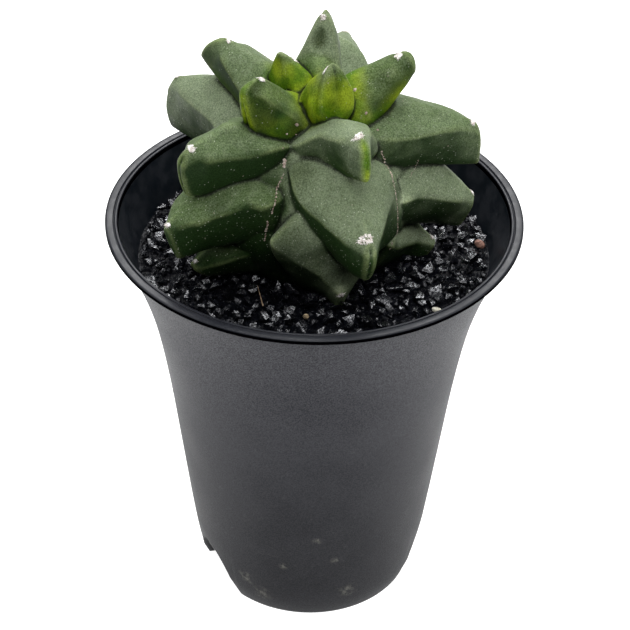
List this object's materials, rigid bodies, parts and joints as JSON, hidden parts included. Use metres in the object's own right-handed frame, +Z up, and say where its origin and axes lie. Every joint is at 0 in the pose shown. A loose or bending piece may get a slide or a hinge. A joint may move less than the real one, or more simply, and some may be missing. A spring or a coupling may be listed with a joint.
{
  "type": "potted cactus",
  "caption": "Bare green bishop's cap cactus with stacked pointed tubercles on spiral ribs, in a tall round black plastic pot dressed with black grit.",
  "frame": {"origin": "centre of the pot on the surface that it stands on", "axes": "+Z up along the pot's axis; -Y towards the front, the side with the narrow dark furrow seen in the picture; +X to the right of that view"},
  "size_m": [0.09, 0.09, 0.1431],
  "materials": {
    "pot_plastic": "fine matte with a smoother lip",
    "potting_mix": "damp, crumbly",
    "black_grit": "sharp grains with a glassy lustre",
    "cactus_flesh": "satin, with a grey bloom on the upper faces",
    "brown_stone": "dull",
    "pale_chip": "dull",
    "pale_grain": "dull",
    "straw": "dry and fibrous"
  },
  "bodies": {
    "root": {"pot": "pot_plastic", "potting_mix": "potting_mix", "grit_dressing": "black_grit", "cactus": "cactus_flesh", "brown_stone": "brown_stone", "pale_chip": "pale_chip", "pale_grain": "pale_grain", "straw_splinter": "straw"}
  },
  "joints": []
}
